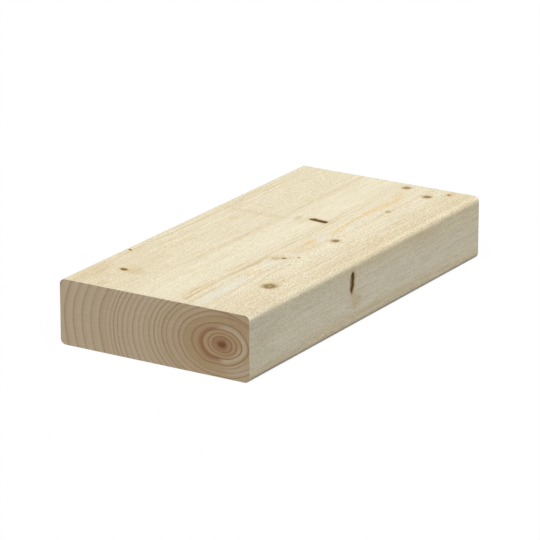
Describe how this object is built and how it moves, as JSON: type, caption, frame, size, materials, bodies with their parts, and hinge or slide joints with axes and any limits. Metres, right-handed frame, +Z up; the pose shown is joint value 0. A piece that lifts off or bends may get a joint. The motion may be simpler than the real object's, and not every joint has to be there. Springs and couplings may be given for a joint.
{
  "type": "timber plank",
  "caption": "Short length of planed softwood plank with rounded long edges and square-sawn ends, lying flat; stock for framing, joists and carpentry.",
  "frame": {"origin": "on the underside, below the middle of the plank", "axes": "+X along the grain, from the end nearest the picture's viewer to the far end; +Y across the broad face; +Z up through the thickness"},
  "size_m": [0.3, 0.145, 0.045],
  "materials": {
    "planed_softwood": "bare planed softwood, matt, with small brown knots; growth rings and pith on the darker sawn ends"
  },
  "bodies": {
    "root": {"plank": "planed_softwood"}
  },
  "joints": []
}
